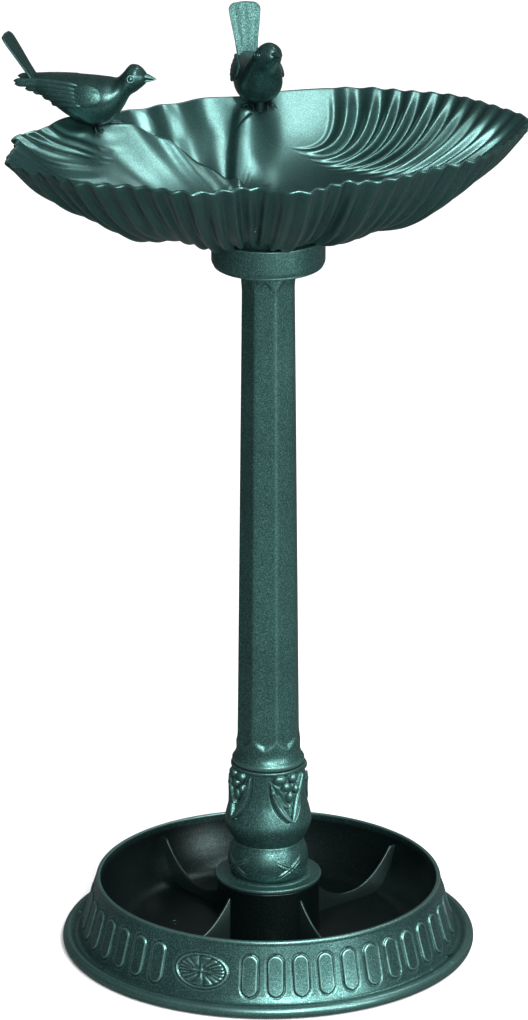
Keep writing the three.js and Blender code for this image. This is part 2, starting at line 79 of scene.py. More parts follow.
def smooth(low, high, value):
    x = np.clip((value - low) / (high - low), 0, 1)
    return x * x * (3 - 2 * x)


# ---------------------------------------------------------------- mesh helpers
class Surface:
    """Gathers closed skins of points, in mm, into one mesh."""

    def __init__(self):
        self.points = []
        self.faces = []

    def skin(self, rows, loop=False):
        """Rings of points joined in order. The ends close on their middles, or on each other in a loop."""
        rows = np.asarray(rows, float)
        count, width = rows.shape[:2]
        start = len(self.points)
        self.points.extend(rows.reshape(-1, 3).tolist())
        for r in range(count if loop else count - 1):
            a = start + r * width
            b = start + ((r + 1) % count) * width
            for i in range(width):
                j = (i + 1) % width
                self.faces.append((a + i, a + j, b + j, b + i))
        if not loop:
            for ring, flip in ((0, True), (count - 1, False)):
                middle = len(self.points)
                self.points.append(rows[ring].mean(axis=0).tolist())
                base = start + ring * width
                for i in range(width):
                    pair = (base + i, base + (i + 1) % width)
                    self.faces.append((*(pair[::-1] if flip else pair), middle))
        return self

    def piece(self, name, body, slot, material, stands_for, sharp=40):
        mesh = bpy.data.meshes.new(name)
        mesh.from_pydata((np.array(self.points) * MM).tolist(), [], self.faces)
        work = bmesh.new()
        work.from_mesh(mesh)
        bmesh.ops.remove_doubles(work, verts=work.verts, dist=1e-6)
        bmesh.ops.recalc_face_normals(work, faces=work.faces)
        work.to_mesh(mesh)
        work.free()
        mesh.shade_smooth()
        mesh.set_sharp_from_angle(angle=sharp * DEG)
        mesh.materials.append(material)
        made = bpy.data.objects.new(name, mesh)
        bpy.context.scene.collection.objects.link(made)
        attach(made, body)
        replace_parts(made, stands_for)
        return made


def profile(points, step=2.0, arc=5):
    """A closed outline of [r, z, corner radius] points with its corners rounded and long runs divided."""
    rounded = []
    for i, (r, z, radius) in enumerate(points):
        here = Vector((r, z))
        back = Vector(points[i - 1][:2]) - here
        on = Vector(points[(i + 1) % len(points)][:2]) - here
        cut = min(radius, back.length * 0.49, on.length * 0.49)
        if cut < 0.05:
            rounded.append(here)
            continue
        start, end = here + back.normalized() * cut, here + on.normalized() * cut
        for k in range(arc):
            t = k / (arc - 1)
            rounded.append(start * (1 - t) ** 2 + here * 2 * t * (1 - t) + end * t * t)
    divided = []
    for i, here in enumerate(rounded):
        following = rounded[(i + 1) % len(rounded)]
        pieces = max(1, round((following - here).length / step))
        divided += [here.lerp(following, k / pieces) for k in range(pieces)]
    return np.array([[p.x, p.y] for p in divided])


def lathe(outline, sides, relief=None):
    """Rings of a turned skin. relief(degrees from the front, r, z) is how far it stands proud, in mm."""
    tangent = np.roll(outline, -1, axis=0) - np.roll(outline, 1, axis=0)
    tangent /= np.linalg.norm(tangent, axis=1)[:, None] + 1e-9
    r, z = outline[:, 0], outline[:, 1]
    area = np.sum(r * np.roll(z, -1) - np.roll(r, -1) * z)
    normal = np.stack([tangent[:, 1], -tangent[:, 0]], axis=1) * (1 if area > 0 else -1)
    phi = np.linspace(0, 360, sides, endpoint=False)
    grid_phi, grid_r = np.meshgrid(phi, r)
    grid_z = np.meshgrid(phi, z)[1]
    proud = relief(grid_phi, grid_r, grid_z) if relief else np.zeros_like(grid_r)
    radius = grid_r + proud * normal[:, :1]
    height = grid_z + proud * normal[:, 1:]
    return np.stack([radius * np.sin(grid_phi * DEG), -radius * np.cos(grid_phi * DEG), height], axis=2)


def spline(stations, count):
    """Rows of numbers evenly spread along a smooth curve through the given rows."""
    stations = np.asarray(stations, float)
    last = len(stations) - 1
    at = np.linspace(0, last, count)
    out = []
    for t in at:
        i = min(int(t), last - 1)
        f = t - i
        p0, p1 = stations[max(i - 1, 0)], stations[i]
        p2, p3 = stations[i + 1], stations[min(i + 2, last)]
        out.append(0.5 * (2 * p1 + (p2 - p0) * f + (2 * p0 - 5 * p1 + 4 * p2 - p3) * f * f
                          + (3 * p1 - p0 - 3 * p2 + p3) * f ** 3))
    return np.array(out)


def turn_near(phi, centre):
    """Signed degrees from a centre, between -180 and 180."""
    return (phi - centre + 180) % 360 - 180


def strip(path, widths, thicknesses, across, sides=12):
    """A tapering solid along a path: a lens section lying along the across direction."""
    path = np.asarray(path, float)
    tangent = np.gradient(path, axis=0)
    tangent /= np.linalg.norm(tangent, axis=1)[:, None] + 1e-9
    wide = np.asarray(across, float)
    if wide.ndim == 1:
        wide = np.tile(wide, (len(path), 1))
    wide = wide - tangent * np.sum(wide * tangent, axis=1)[:, None]
    wide /= np.linalg.norm(wide, axis=1)[:, None] + 1e-9
    thick = np.cross(tangent, wide)
    angle = np.linspace(0, 2 * math.pi, sides, endpoint=False)
    rings = []
    for i, middle in enumerate(path):
        c, s = np.cos(angle), np.sin(angle)
        lift = thicknesses[i] * 0.5 * s
        rings.append(middle + np.outer(c * widths[i] * 0.5, wide[i]) + np.outer(lift, thick[i]))
    return np.array(rings)


# ---------------------------------------------------------------- materials
def srgb(r, g, b):
    def linear(v):
        v /= 255
        return v / 12.92 if v <= 0.04045 else ((v + 0.055) / 1.055) ** 2.4
    return (linear(r), linear(g), linear(b), 1)


class Nodes:
    """A small hand for wiring one material."""

    def __init__(self, name):
        self.material = bpy.data.materials.new(name)
        self.material.use_nodes = True
        self.tree = self.material.node_tree
        self.shader = self.tree.nodes["Principled BSDF"]
        self.place = self.tree.nodes.new("ShaderNodeTexCoord").outputs["Object"]

    def link(self, source, target):
        self.tree.links.new(source, target)

    def noise(self, scale, detail=2.0, rough=0.5, squash=None):
        node = self.tree.nodes.new("ShaderNodeTexNoise")
        node.inputs["Scale"].default_value = scale
        node.inputs["Detail"].default_value = detail
        node.inputs["Roughness"].default_value = rough
        place = self.place
        if squash:
            mapping = self.tree.nodes.new("ShaderNodeMapping")
            mapping.inputs["Scale"].default_value = squash
            self.link(place, mapping.inputs["Vector"])
            place = mapping.outputs["Vector"]
        self.link(place, node.inputs["Vector"])
        return node.outputs["Fac"]

    def ramp(self, value, stops):
        node = self.tree.nodes.new("ShaderNodeValToRGB")
        ramp = node.color_ramp
        while len(ramp.elements) < len(stops):
            ramp.elements.new(0.5)
        for element, (position, colour) in zip(ramp.elements, stops):
            element.position = position
            element.color = colour
        self.link(value, node.inputs["Fac"])
        return node.outputs["Color"]

    def rescale(self, value, from_low, from_high, to_low, to_high):
        node = self.tree.nodes.new("ShaderNodeMapRange")
        limits = {"From Min": from_low, "From Max": from_high, "To Min": to_low, "To Max": to_high}
        for key, number in limits.items():
            node.inputs[key].default_value = number
        self.link(value, node.inputs["Value"])
        return node.outputs["Result"]

    def mix(self, factor, first, second, blend="MIX"):
        node = self.tree.nodes.new("ShaderNodeMix")
        node.data_type = "RGBA"
        node.blend_type = blend
        for value, socket in ((factor, node.inputs[0]), (first, node.inputs[6]), (second, node.inputs[7])):
            if isinstance(value, (int, float, tuple)):
                socket.default_value = value
            else:
                self.link(value, socket)
        return node.outputs[2]

    def radius(self):
        """Distance from the upright axis through the object's origin."""
        flat = self.tree.nodes.new("ShaderNodeVectorMath")
        flat.operation = "MULTIPLY"
        flat.inputs[1].default_value = (1, 1, 0)
        self.link(self.place, flat.inputs[0])
        length = self.tree.nodes.new("ShaderNodeVectorMath")
        length.operation = "LENGTH"
        self.link(flat.outputs[0], length.inputs[0])
        return length.outputs["Value"]

    def edges(self, low, high):
        geometry = self.tree.nodes.new("ShaderNodeNewGeometry")
        return self.rescale(geometry.outputs["Pointiness"], low, high, 0.0, 1.0)

    def bump(self, value, strength, distance):
        node = self.tree.nodes.new("ShaderNodeBump")
        node.inputs["Strength"].default_value = strength
        node.inputs["Distance"].default_value = distance
        self.link(value, node.inputs["Height"])
        self.link(node.outputs["Normal"], self.shader.inputs["Normal"])

    def set(self, **numbers):
        for key, number in numbers.items():
            self.shader.inputs[key.replace("_", " ")].default_value = number


# Painted shade: the colour inside the planter's hollow is multiplied by this, almost to black.
HOLLOW_SHADE = 0.13


def green_paint(name, deep, body, bright, grain, bump, rough,
                coat=0.1, edge_wear_and_highlight=0.3, contrast=0.16, painted_shade_radius=None):
    """Hammered verdigris paint: fine dark and light flecks, soft clouds, and lighter edges that are partly
    wear and partly painted highlight.

    Nearer to the upright axis than the given radius, in metres, painted shade makes the colour almost black.
    """
    n = Nodes(name)
    flecks = n.noise(grain, detail=3, rough=0.65)
    colour = n.ramp(flecks, [(0.5 - contrast, deep), (0.5, body), (0.5 + contrast, bright)])
    clouds = n.ramp(n.noise(16, detail=3), [(0.3, (0.72, 0.72, 0.72, 1)), (0.7, (1, 1, 1, 1))])
    colour = n.mix(1.0, colour, clouds, "MULTIPLY")
    # Lighter colour on pointy edges: partly wear, partly a painted highlight.
    worn_and_lit_edges = n.ramp(n.edges(0.503, 0.54), [(0.0, (0, 0, 0, 1)), (1.0, (edge_wear_and_highlight, edge_wear_and_highlight, edge_wear_and_highlight, 1))])
    colour = n.mix(worn_and_lit_edges, colour, bright)
    # Painted shade: nearer the axis than the given radius the colour is darkened almost to black.
    if painted_shade_radius:
        inside = n.rescale(n.radius(), painted_shade_radius, painted_shade_radius + 0.001, 0.0, 1.0)
        shade = n.ramp(inside, [(0, (HOLLOW_SHADE, HOLLOW_SHADE, HOLLOW_SHADE, 1)), (1, (1, 1, 1, 1))])
        colour = n.mix(1.0, colour, shade, "MULTIPLY")
    n.link(colour, n.shader.inputs["Base Color"])
    n.link(n.rescale(flecks, 0.3, 0.7, rough + 0.07, rough - 0.07), n.shader.inputs["Roughness"])
    n.bump(flecks, bump, 0.0004)
    n.set(Metallic=0.85, Coat_Weight=coat, Coat_Roughness=0.32)
    return n.material


def plain_paint(name, low, high, grain, rough, metallic, bump):
    n = Nodes(name)
    flecks = n.noise(grain, detail=2)
    n.link(n.ramp(flecks, [(0.35, low), (0.65, high)]), n.shader.inputs["Base Color"])
    n.link(n.rescale(n.noise(60), 0.3, 0.7, rough - 0.06, rough + 0.06), n.shader.inputs["Roughness"])
    n.bump(flecks, bump, 0.0003)
    n.set(Metallic=metallic)
    return n.material


column_green = green_paint("column_green", srgb(24, 54, 52), srgb(60, 104, 100), srgb(124, 168, 162),
                           950, 0.22, 0.42, contrast=0.24)
# The planter paint carries painted shade inside its hollow, nearer the axis than 146.2 mm.
planter_green = green_paint("planter_green", srgb(22, 50, 49), srgb(54, 96, 93), srgb(124, 168, 162),
                            1000, 0.2, 0.36, coat=0.15, contrast=0.24, edge_wear_and_highlight=0.8, painted_shade_radius=0.1462)
satin_green = green_paint("satin_green", srgb(30, 66, 64), srgb(48, 92, 89), srgb(78, 124, 119),
                          1300, 0.1, 0.34, coat=0.6, edge_wear_and_highlight=0.2, contrast=0.2)
bird_green = green_paint("bird_green", srgb(20, 46, 45), srgb(42, 80, 77), srgb(88, 132, 127),
                         1000, 0.16, 0.36, coat=0.35, contrast=0.24)
fleck_green = green_paint("fleck_green", srgb(20, 46, 45), srgb(44, 82, 79), srgb(92, 134, 129),
                          1000, 0.3, 0.45, contrast=0.18)
inner_green = plain_paint("inner_green", srgb(26, 46, 44), srgb(44, 70, 67), 500, 0.55, 0.2, 0.15)
zinc = plain_paint("zinc", srgb(128, 132, 134), srgb(176, 180, 182), 700, 0.36, 0.95, 0.1)
# Dark paint of the claws; the drain cups also use it as painted shade.
claws_and_painted_hole_shade = plain_paint("claws_and_painted_hole_shade", srgb(14, 30, 29), srgb(34, 60, 57), 800, 0.42, 0.8, 0.2)


# ---------------------------------------------------------------- planter base
def wall_radius(z):
    x = (BASE["height"] - z) / BASE["height"]
    return BASE["rim"] + 15.2 * x + 3.6 * x ** 4


PAD = {"z": 31.2, "half_length": 18, "half_width": 6.9, "pitch": 8.05, "first": 15.7, "count": 12,
       "proud": 1.3}
OVAL = {"z": 31.8, "half_width": 24.5, "half_height": 15.2}
SLANT = 1.035  # length along the leaning wall for each mm of height


def wall_relief(phi, r, z):
    """Raised pads and leafy oval medallions round the outside of the wall."""
    on_wall = (r > wall_radius(z) - 0.6) & (z > 11) & (z < 56)
    slope = (z - PAD["z"]) * SLANT
    proud = np.zeros_like(r)
    for medallion in MEDALLIONS:
        for i in range(PAD["count"]):
            x = turn_near(phi, medallion + PAD["first"] + i * PAD["pitch"]) * DEG * r
            run = PAD["half_length"] - PAD["half_width"]
            d = np.hypot(x, slope - np.clip(slope, -run, run)) - PAD["half_width"]
            pad = PAD["proud"] * (1 - smooth(-0.9, 0.1, d)) - 0.6 * np.exp(-((d - 0.7) / 0.7) ** 2)
            proud = np.where(d < 4, pad, proud)
        u = turn_near(phi, medallion) * DEG * r / OVAL["half_width"]
        v = (z - OVAL["z"]) * SLANT / OVAL["half_height"]
        rho = np.hypot(u, v)
        theta = np.arctan2(v, u)
        bend = theta + 0.22 * np.sin(2 * theta)
        veins = np.abs(np.sin(9 * bend + 1.1 * rho)) ** 0.7
        stem = np.exp(-(v * OVAL["half_height"] / 0.9) ** 2) * (1 - smooth(0.25, 0.5, np.abs(u)))
        stem += np.exp(-(u * OVAL["half_width"] / 0.9) ** 2) * (1 - smooth(0.1, 0.5, np.abs(v)))
        veined = 1.1 * veins * smooth(0.08, 0.45, rho) * (1 - smooth(0.78, 0.9, rho))
        leaf = -0.7 + veined + 0.9 * np.minimum(stem, 1)
        ring = 0.9 * np.exp(-((rho - 0.95) / 0.035) ** 2) - 0.6 * np.exp(-((rho - 1.04) / 0.03) ** 2)
        oval = leaf * (1 - smooth(0.86, 0.92, rho)) + ring
        proud = np.where(rho < 1.2, oval, proud)
    return np.where(on_wall, proud, 0)


# The dish inside the planter from the rim down, and the face under it from the floor up: r, z.
DISH = [(146.6, 56), (145.6, 50), (143.6, 42), (140.4, 33), (135.5, 23.5), (129.5, 15.5), (122, 10.8),
        (114, 10)]
UNDERSIDE = [(121, 7), (131, 12.7), (138.3, 21.6), (143.4, 31.6), (146.4, 41.5), (148.4, 49)]
# A web's top edge sags from its ends to its lowest point, at the radius middle.
WEB = {"angles": (-50, 40, 130, 220), "lowest": 19, "rise": 31, "highest": 50, "middle": 92,
       "half_span": 47.5, "curve": 2.2, "half_thick": 1.5, "reach": 146.4}
POST_RING = 24  # radius of the ring of screw posts in the hub


def planter():
    wall, height, hub, floor = BASE["wall"], BASE["height"], BASE["hub"], BASE["floor"]
    flange, rim = BASE["flange"], BASE["rim"]
    outside = [(wall_radius(z), z, 0) for z in (14, 18, 22, 28, 34, 40, 46, 52, 56.5)]
    dish = [(r, z, 4) for r, z in DISH]
    under = [(r, z, 0) for r, z in UNDERSIDE] + [(wall_radius(z) - wall, z, 0) for z in (40, 25, 8)]
    outline = [(flange - 4.5, 0, 1), (flange - 1.2, 1.2, 3), (flange, 5, 3), (flange - 1.3, 9.0, 3),
               (flange - 5.2, 10.8, 3), (flange - 8.8, 9.4, 2.5), (flange - 11.2, 7.6, 2),
               (flange - 14.4, 8.6, 3), *outside, (rim + 1.0, height - 2.4, 1),
               (rim + 0.3, height - 0.2, 1.3), (rim - 2.9, height, 1.2), *dish, (hub, floor, 3),
               (hub, 59.0, 0.8), (hub - wall, 59.0, 0.4), (hub - wall, wall, 0), (CORE, wall, 0),
               (CORE, 0, 0), (hub, 0, 0), (hub, floor - wall, 0), *under, (163, 3, 0), (167, 0, 0)]
    surface = Surface()
    surface.skin(lathe(profile(outline, step=0.75), 1440, wall_relief), loop=True)
    for angle in WEB["angles"]:
        surface.skin(planter_web(angle))
    for i in range(4):
        x, y = POST_RING * math.sin((45 + 90 * i) * DEG), -POST_RING * math.cos((45 + 90 * i) * DEG)
        post = lathe(profile([(CORE, 2.5, 0), (5, 2.5, 0), (5, 59.2, 0.5), (CORE, 59.2, 0)], 8), 24)
        surface.skin(post + np.array([x, y, 0]), loop=True)
    return surface


def planter_web(angle):
    """A thin web from the hub to the dish: its top edge hangs in a curve and is rounded."""
    rings = []
    dish = np.array(DISH[::-1])
    half = WEB["half_thick"]
    c, s = math.cos(angle * DEG), math.sin(angle * DEG)
    for reach in np.linspace(BASE["hub"] - 1, WEB["reach"], 80):
        from_middle = abs((reach - WEB["middle"]) / WEB["half_span"])
        top = min(WEB["highest"], WEB["lowest"] + WEB["rise"] * from_middle ** WEB["curve"])
        low = max(BASE["floor"] - 1, np.interp(reach, dish[:, 0], dish[:, 1]) - 1.6)
        low = min(low, top - 2)
        section = [(-half, low), (half, low), (half, top - 1.4), (half - 0.4, top - 0.5), (0.4, top),
                   (-0.4, top), (0.4 - half, top - 0.5), (-half, top - 1.4)]
        rings.append([(reach * s + side * c, -reach * c + side * s, z) for side, z in section])
    return rings


planter().piece("base_planter_looks", "stand", "green_paint", planter_green, "base_planter", sharp=55)


DRAIN_RING = 168.2
FLOOR_DRAIN = (-82, 11, 0)


def drain_hole_shade():
    """Painted shade for the drain holes in the flange's valley and the one in the floor: low near-black cups,
    not holes.
    """
    surface = Surface()
    for angle in DRAINS:
        cup = lathe(profile([(CORE, 7.0, 0), (2.4, 7.0, 0), (2.7, 8.8, 0.4), (2.1, 8.9, 0.3), (1.9, 8.0, 0),
                             (CORE, 8.0, 0)], 1), 24)
        place = (DRAIN_RING * math.sin(angle * DEG), -DRAIN_RING * math.cos(angle * DEG), 0)
        surface.skin(cup + np.array(place), loop=True)
    floor_cup = lathe(profile([(CORE, 9.4, 0), (4.4, 9.4, 0), (4.7, 10.4, 0.4), (3.8, 10.5, 0.3),
                               (3.5, 9.8, 0), (CORE, 9.8, 0)], 1), 24)
    surface.skin(floor_cup + np.array(FLOOR_DRAIN), loop=True)
    return surface


# Painted shade: near-black cups stand where the drain holes are.
drain_hole_shade().piece("drain_hole_shade", "stand", "green_paint", claws_and_painted_hole_shade, "base_planter")


# ---------------------------------------------------------------- foot
def foot_plate():
    outline = [(3.3, 59.6, 0), (44.6, 59.6, 0.6), (46.2, 60.6, 0.8), (46.2, 63.0, 0.9), (45.2, 63.6, 0.5),
               (44.2, 63.2, 0.3), (37.4, 63.3, 0.4), (36.2, 64.3, 0.6), (34.2, 64.6, 0.3), (3.3, 64.6, 0)]
    return Surface().skin(lathe(profile(outline, 0.8), 240), loop=True)


BULGE = {"radius": 34, "middle": 77}


def ribbon_relief(phi, r, z):
    """Four places where two ribbons cross on the bulge."""
    proud = np.zeros_like(r)
    for centre in ORNAMENTS:
        x = turn_near(phi, centre) * DEG * BULGE["radius"]
        y = z - BULGE["middle"]
        for lean in (0.62, -0.55):
            off = (y - lean * x) / math.hypot(1, lean)
            fade = 1 - smooth(9, 14, np.abs(x))
            edge = np.exp(-((np.abs(off) - 1.5) / 0.6) ** 2)
            proud = np.maximum(proud, fade * (0.9 * edge + 0.45 * (np.abs(off) < 1.5)))
    return np.where(r > 31, proud, 0)


def foot_bulge():
    outline = [(28.4, 64.9, 0), (31.6, 64.9, 0.5), (33.2, 67.5, 1.5), (34.5, 72, 2.5), (35, 77, 2.5),
               (34.7, 82, 2.5), (33.3, 88, 3), (31.3, 93, 2), (30.6, 96.3, 0.6), (24, 96.3, 0), (24, 93, 0),
               (28.4, 90, 0)]
    return Surface().skin(lathe(profile(outline, 0.7), 360, ribbon_relief), loop=True)


VASE_RADIUS = 33.5
# Leaves: start and end as degrees from the ornament's middle and height, then width.
LEAVES = [((-2, 121.5), (-30.5, 157), 8.0), ((-1, 121.5), (27, 162), 7.4), ((-3, 134), (-21, 149), 5.0)]
# Berries and buds: degrees from the ornament's middle, height, half width, half height.
BERRIES = [(-15.7, 160.8, 6.4, 4.9), (-5.0, 153.6, 4.6, 4.3), (7.4, 160.6, 4.8, 4.4), (0.5, 144, 3.8, 5.4),
           (11.5, 150, 3.2, 4.2), (-27.5, 149.5, 2.6, 3.4)]


def leaf_relief(phi, r, z):
    """A V of two long leaves with buds between them, four times round the vase."""
    proud = np.zeros_like(r)
    sunk = np.zeros_like(r)
    for centre in ORNAMENTS:
        angle = turn_near(phi, centre)
        x = angle * DEG * VASE_RADIUS
        for (a0, z0), (a1, z1), width in LEAVES:
            p = np.array([a0 * DEG * VASE_RADIUS, z0])
            q = np.array([a1 * DEG * VASE_RADIUS, z1])
            along = q - p
            length = np.hypot(*along)
            unit = along / length
            t = ((x - p[0]) * unit[0] + (z - p[1]) * unit[1]) / length
            curve = 2.2 * np.sin(math.pi * np.clip(t, 0, 1)) * np.sign(a1)
            off = -(x - p[0]) * unit[1] + (z - p[1]) * unit[0] + curve
            half = width * 0.5 * np.sin(math.pi * np.clip(t, 0.001, 0.999) ** 0.85) ** 0.7
            inside = np.clip(1 - (off / (half + 0.2)) ** 2, 0, 1) * ((t > 0) & (t < 1))
            crease = 0.5 * np.exp(-(off / 0.55) ** 2) * inside
            proud = np.maximum(proud, 3.0 * np.sqrt(inside) - crease)
            groove = np.exp(-((np.abs(off) - half - 0.8) / 0.8) ** 2) * ((t > 0.02) & (t < 0.98))
            sunk = np.maximum(sunk, 1.2 * groove)
        for a, zc, rx, rz in BERRIES:
            d = np.hypot((x - a * DEG * VASE_RADIUS) / rx, (z - zc) / rz)
            proud = np.maximum(proud, 3.3 * np.sqrt(np.clip(1 - d ** 2, 0, 1)))
            sunk = np.maximum(sunk, 1.2 * np.exp(-((d - 1.18) / 0.16) ** 2))
    raised = np.where(proud > 0.15, proud, -sunk)
    return np.where((r > 30.4) & (z > 104) & (z < 165), raised, 0)


def foot_vase():
    outline = [(24, 96.6, 0), (30.7, 96.6, 0.4), (31.5, 98.4, 1), (33.4, 102, 2), (35.9, 106.7, 2.5),
               (37.5, 112, 3), (37.7, 116, 3), (36.7, 121, 2.5), (34.8, 128.5, 3), (33, 135, 3),
               (32.3, 141, 3), (32.1, 152, 0), (32.0, 164.6, 0.8), (32.6, 165.6, 0.5), (32.4, 167.5, 0.6),
               (29.2, 167.5, 0.3), (28.8, 164.6, 0), (22.2, 164.6, 0), (22.2, 140, 0), (18, 140, 0),
               (18, 136, 0), (28.5, 136, 0), (31.5, 120, 0), (31.5, 112, 0), (28, 103, 0), (24, 101, 0)]
    return Surface().skin(lathe(profile(outline, 0.6), 480, leaf_relief), loop=True)


foot_plate().piece("foot_plate_looks", "stand", "green_paint", column_green, "foot_plate", sharp=60)
foot_bulge().piece("foot_bulge_looks", "stand", "green_paint", column_green, "foot_bulge", sharp=60)
foot_vase().piece("foot_vase_looks", "stand", "green_paint", column_green, "foot_vase", sharp=60)


# ---------------------------------------------------------------- shaft
def shaft_radius(z):
    return 27.6 - (27.6 - 23.4) * ((z - 200) / 400)


def octagon(phi, corner, ease):
    """Radius of an octagon whose corners are eased, at angles in degrees."""
    from_corner = np.abs(turn_near(phi, SHAFT["spin"]) % 45)
    from_corner = np.minimum(from_corner, 45 - from_corner) * DEG
    flat = corner * math.cos(22.5 * DEG) / np.cos(22.5 * DEG - from_corner)
    limit = corner - ease
    return -np.logaddexp(-flat * 3.2, -limit * 3.2) / 3.2


def shaft_ring(z, columns=240):
    """One ring: an octagon along the shaft, melting into a circle at both ends with arched facet ends."""
    phi = np.linspace(0, 360, columns, endpoint=False)
    from_middle = 1 - np.abs(((turn_near(phi, SHAFT["spin"]) % 45) - 22.5) / 22.5)
    top_end = 598 + 13 * np.sqrt(np.clip(from_middle, 0, 1))
    low_end = 197 - 9 * np.sqrt(np.clip(from_middle, 0, 1))
    faceted = smooth(low_end - 3, low_end + 3, z) * (1 - smooth(top_end - 2.5, top_end + 2.5, z))
    corner = shaft_radius(min(max(z, 200), 608))
    radius = corner + 0.25 + (octagon(phi, corner + 0.35, 0.35) - corner - 0.25) * faceted
    return phi, radius


def column_shaft():
    levels = np.concatenate([np.arange(184, 212, 1.0), np.arange(212, 588, 8.0), np.arange(588, 616, 1.0)])
    rings = []
    for r, z in [(28.0, 164.9), (28.2, 168.0), (28.6, 168.4), (30.8, 168.5), (31.3, 169.4), (31.4, 171.8),
                 (30.8, 172.9), (29.4, 174.6), (28.5, 177), (27.7, 180)]:
        phi = np.linspace(0, 360, 240, endpoint=False)
        rings.append([(r * math.sin(a * DEG), -r * math.cos(a * DEG), z) for a in phi])
    for z in levels:
        phi, radius = shaft_ring(z)
        rings.append(np.stack([radius * np.sin(phi * DEG), -radius * np.cos(phi * DEG), np.full(240, z)], 1))
    phi = np.linspace(0, 360, 240, endpoint=False)
    rim, top = shaft_radius(616), SHAFT["top"]
    for r, z in [(rim, 617), (rim, top - 0.8), (rim - 0.7, top), (rim - 4.2, top), (rim - 4.7, top - 0.6),
                 (rim - 4.7, 590), (22.9, 200), (22.9, 165.2)]:
        rings.append([(r * math.sin(a * DEG), -r * math.cos(a * DEG), z) for a in phi])
    return Surface().skin(rings, loop=True)


column_shaft().piece("column_shaft_looks", "stand", "green_paint", column_green, "column_shaft", sharp=50)


# ---------------------------------------------------------------- collar
def bowl_collar():
    r, low, top, wall, socket = (COLLAR[k] for k in ("r", "bottom", "top", "wall", "socket"))
    outline = [(socket, low + 1, 0.4), (socket + wall, low + 1, 0.4), (socket + wall, top - wall, 0),
               (r - wall, top - wall, 0), (r - wall, low + 1.2, 0.4), (r - 2.7, low, 0.8),
               (r - 1.5, low + 1.0, 0.6), (r - 1.8, low + 2.6, 0.3), (r - 0.4, low + 3.4, 0.6),
               (r, low + 5.4, 1.2), (r, top, 0.5), (CORE, top, 0), (CORE, top - wall, 0),
               (socket, top - wall, 0)]
    return Surface().skin(lathe(profile(outline, 0.8), 300), loop=True)


bowl_collar().piece("bowl_collar_looks", "bowl", "satin_green", column_green, "bowl_collar", sharp=60)

# ---------------------------------------------------------------- shell bowl
# Rim outline in plan, counterclockwise from the right tip: x, y, and how full the lobe is there.
RIM = np.array([
    [219, 62, 0.6], [193, 98, 0.6], [158, 130, 0.5], [118, 143, 0.5], [78, 152, 0.6], [14, 142, 0.5],
    [-22, 126, 0.2], [-57, 120, 0.6], [-78, 104, 0.2], [-92, 101, 0.6], [-104, 89, 0.2], [-118, 86, 0.6],
    [-131, 77, 0.3], [-170, 64, 0.6], [-188, 34, 0.4], [-213, 6, 0.7], [-211, -14, 0.4], [-216, -70, 0.8],
    [-184, -98, 0], [-158, -120, 1], [-112, -130, 0], [-60, -148, 1], [-15, -135, 0], [28, -146, 1],
    [64, -119, 0], [95, -113, 1], [143, -75, 0], [171, -56, 1], [198, -16, 0], [215, 26, 0.8]])


def rim_curve(count):
    """Points of the closed centripetal curve through RIM, evenly spread over its parameter."""
    found = []
    for k in range(count):
        at = k / count * len(RIM)
        i = int(at)
        f = at - i
        p = [RIM[(i + d) % len(RIM)] for d in (-1, 0, 1, 2)]
        steps = [max(np.sum((p[d + 1] - p[d]) ** 2) ** 0.25, 1e-4) for d in range(3)]
        t1 = (p[1] - p[0]) / steps[0] - (p[2] - p[0]) / (steps[0] + steps[1]) + (p[2] - p[1]) / steps[1]
        t2 = (p[2] - p[1]) / steps[1] - (p[3] - p[1]) / (steps[1] + steps[2]) + (p[3] - p[2]) / steps[2]
        t1, t2 = t1 * steps[1], t2 * steps[1]
        found.append(p[1] + t1 * f + (-3 * p[1] + 3 * p[2] - 2 * t1 - t2) * f * f
                     + (2 * p[1] - 2 * p[2] + t1 + t2) * f ** 3)
    return np.array(found)


RIM_STEPS = 1440
RIM_CURVE = rim_curve(RIM_STEPS)
RIM_CLOSED = np.vstack([RIM_CURVE, RIM_CURVE[:1]])
RIM_LENGTH = np.concatenate([[0], np.cumsum(np.linalg.norm(np.diff(RIM_CLOSED, axis=0), axis=1))])
RIM_LENGTH /= RIM_LENGTH[-1]
FROM_FLOOR = RIM_CURVE[:, :2] - np.array(FLOOR)
POLAR_ANGLE = np.arctan2(FROM_FLOOR[:, 1], FROM_FLOOR[:, 0])
POLAR_ORDER = np.argsort(POLAR_ANGLE)
POLAR_ANGLE = POLAR_ANGLE[POLAR_ORDER]
POLAR_RADIUS = np.hypot(FROM_FLOOR[:, 0], FROM_FLOOR[:, 1])[POLAR_ORDER]


def rim_at(s):
    s = np.mod(s, 1)
    return np.stack([np.interp(s, RIM_LENGTH, RIM_CLOSED[:, k]) for k in range(3)], axis=-1)


# Two folds of the shell: a crest along the path, a gentle side on its left and a drop on its right.
FOLDS = [
    {"path": [(-12, 44), (-30, 54), (-52, 60), (-72, 65), (-92, 68), (-110, 67), (-128, 65), (-148, 66)],
     "height": 15, "reach": 32, "drop": 14, "fade": 0},
    {"path": [(-21, 122), (-26, 95), (-27, 66), (-18, 34)], "height": 5, "reach": 18, "drop": 9, "fade": 1},
]


